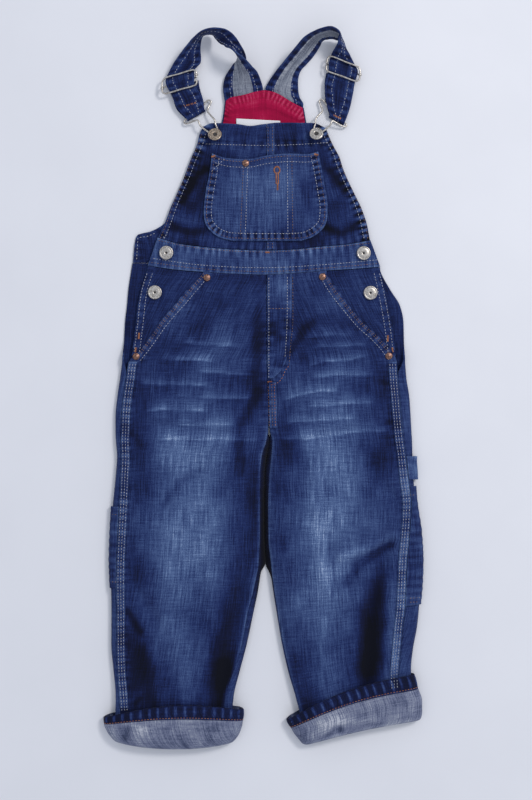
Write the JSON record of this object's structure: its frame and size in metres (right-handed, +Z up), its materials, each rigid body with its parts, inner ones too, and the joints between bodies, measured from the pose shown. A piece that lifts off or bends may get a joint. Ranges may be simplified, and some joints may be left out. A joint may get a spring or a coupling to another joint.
{
  "type": "kids dungarees",
  "caption": "Child's denim dungarees laid out face up, with bib pocket, buttoned sides, sliders and hooks on the straps, and turned-up cuffs.",
  "frame": {"origin": "middle of the footprint, on the surface that the garment lies on", "axes": "+X to the right of the garment seen from above, +Y towards the shoulder straps, +Z up from the surface"},
  "size_m": [0.3453, 0.7706, 0.0346],
  "materials": {
    "denim": "dark indigo denim, slubby twill with faded folds",
    "reverse": "grey-blue reverse of the denim",
    "facing": "red cotton twill",
    "label": "white woven tape",
    "nickel": "aged nickel",
    "copper": "dull copper"
  },
  "bodies": {
    "root": {"back_bib": "denim", "back_facing": "facing", "back_leg_left": "denim", "back_leg_right": "denim", "bib_button_left": "nickel", "bib_button_right": "nickel", "bib_left": "denim", "bib_pocket": "denim", "bib_right": "denim", "bib_seam_lower": "denim", "bib_seam_upper": "denim", "crotch_seam": "denim", "cuff_hem_left": "denim", "cuff_hem_right": "denim", "cuff_left": "reverse", "cuff_right": "reverse", "fly_flap": "denim", "front_leg_left": "denim", "front_leg_right": "denim", "hammer_loop": "denim", "hip_side_left": "denim", "hip_side_right": "denim", "hook_left": "nickel", "hook_right": "nickel", "label": "label", "outseam_left": "denim", "outseam_right": "denim", "rivet_bib_pocket": "copper", "rivet_left_bottom": "copper", "rivet_left_top": "copper", "rivet_right_bottom": "copper", "rivet_right_top": "copper", "side_button_left_lower": "nickel", "side_button_left_upper": "nickel", "side_button_right_lower": "nickel", "side_button_right_upper": "nickel", "slider_left": "nickel", "slider_right": "nickel", "strap_left": "denim", "strap_right": "denim", "tool_pocket_left": "denim", "tool_pocket_right": "denim", "waistband": "denim"}
  },
  "joints": []
}
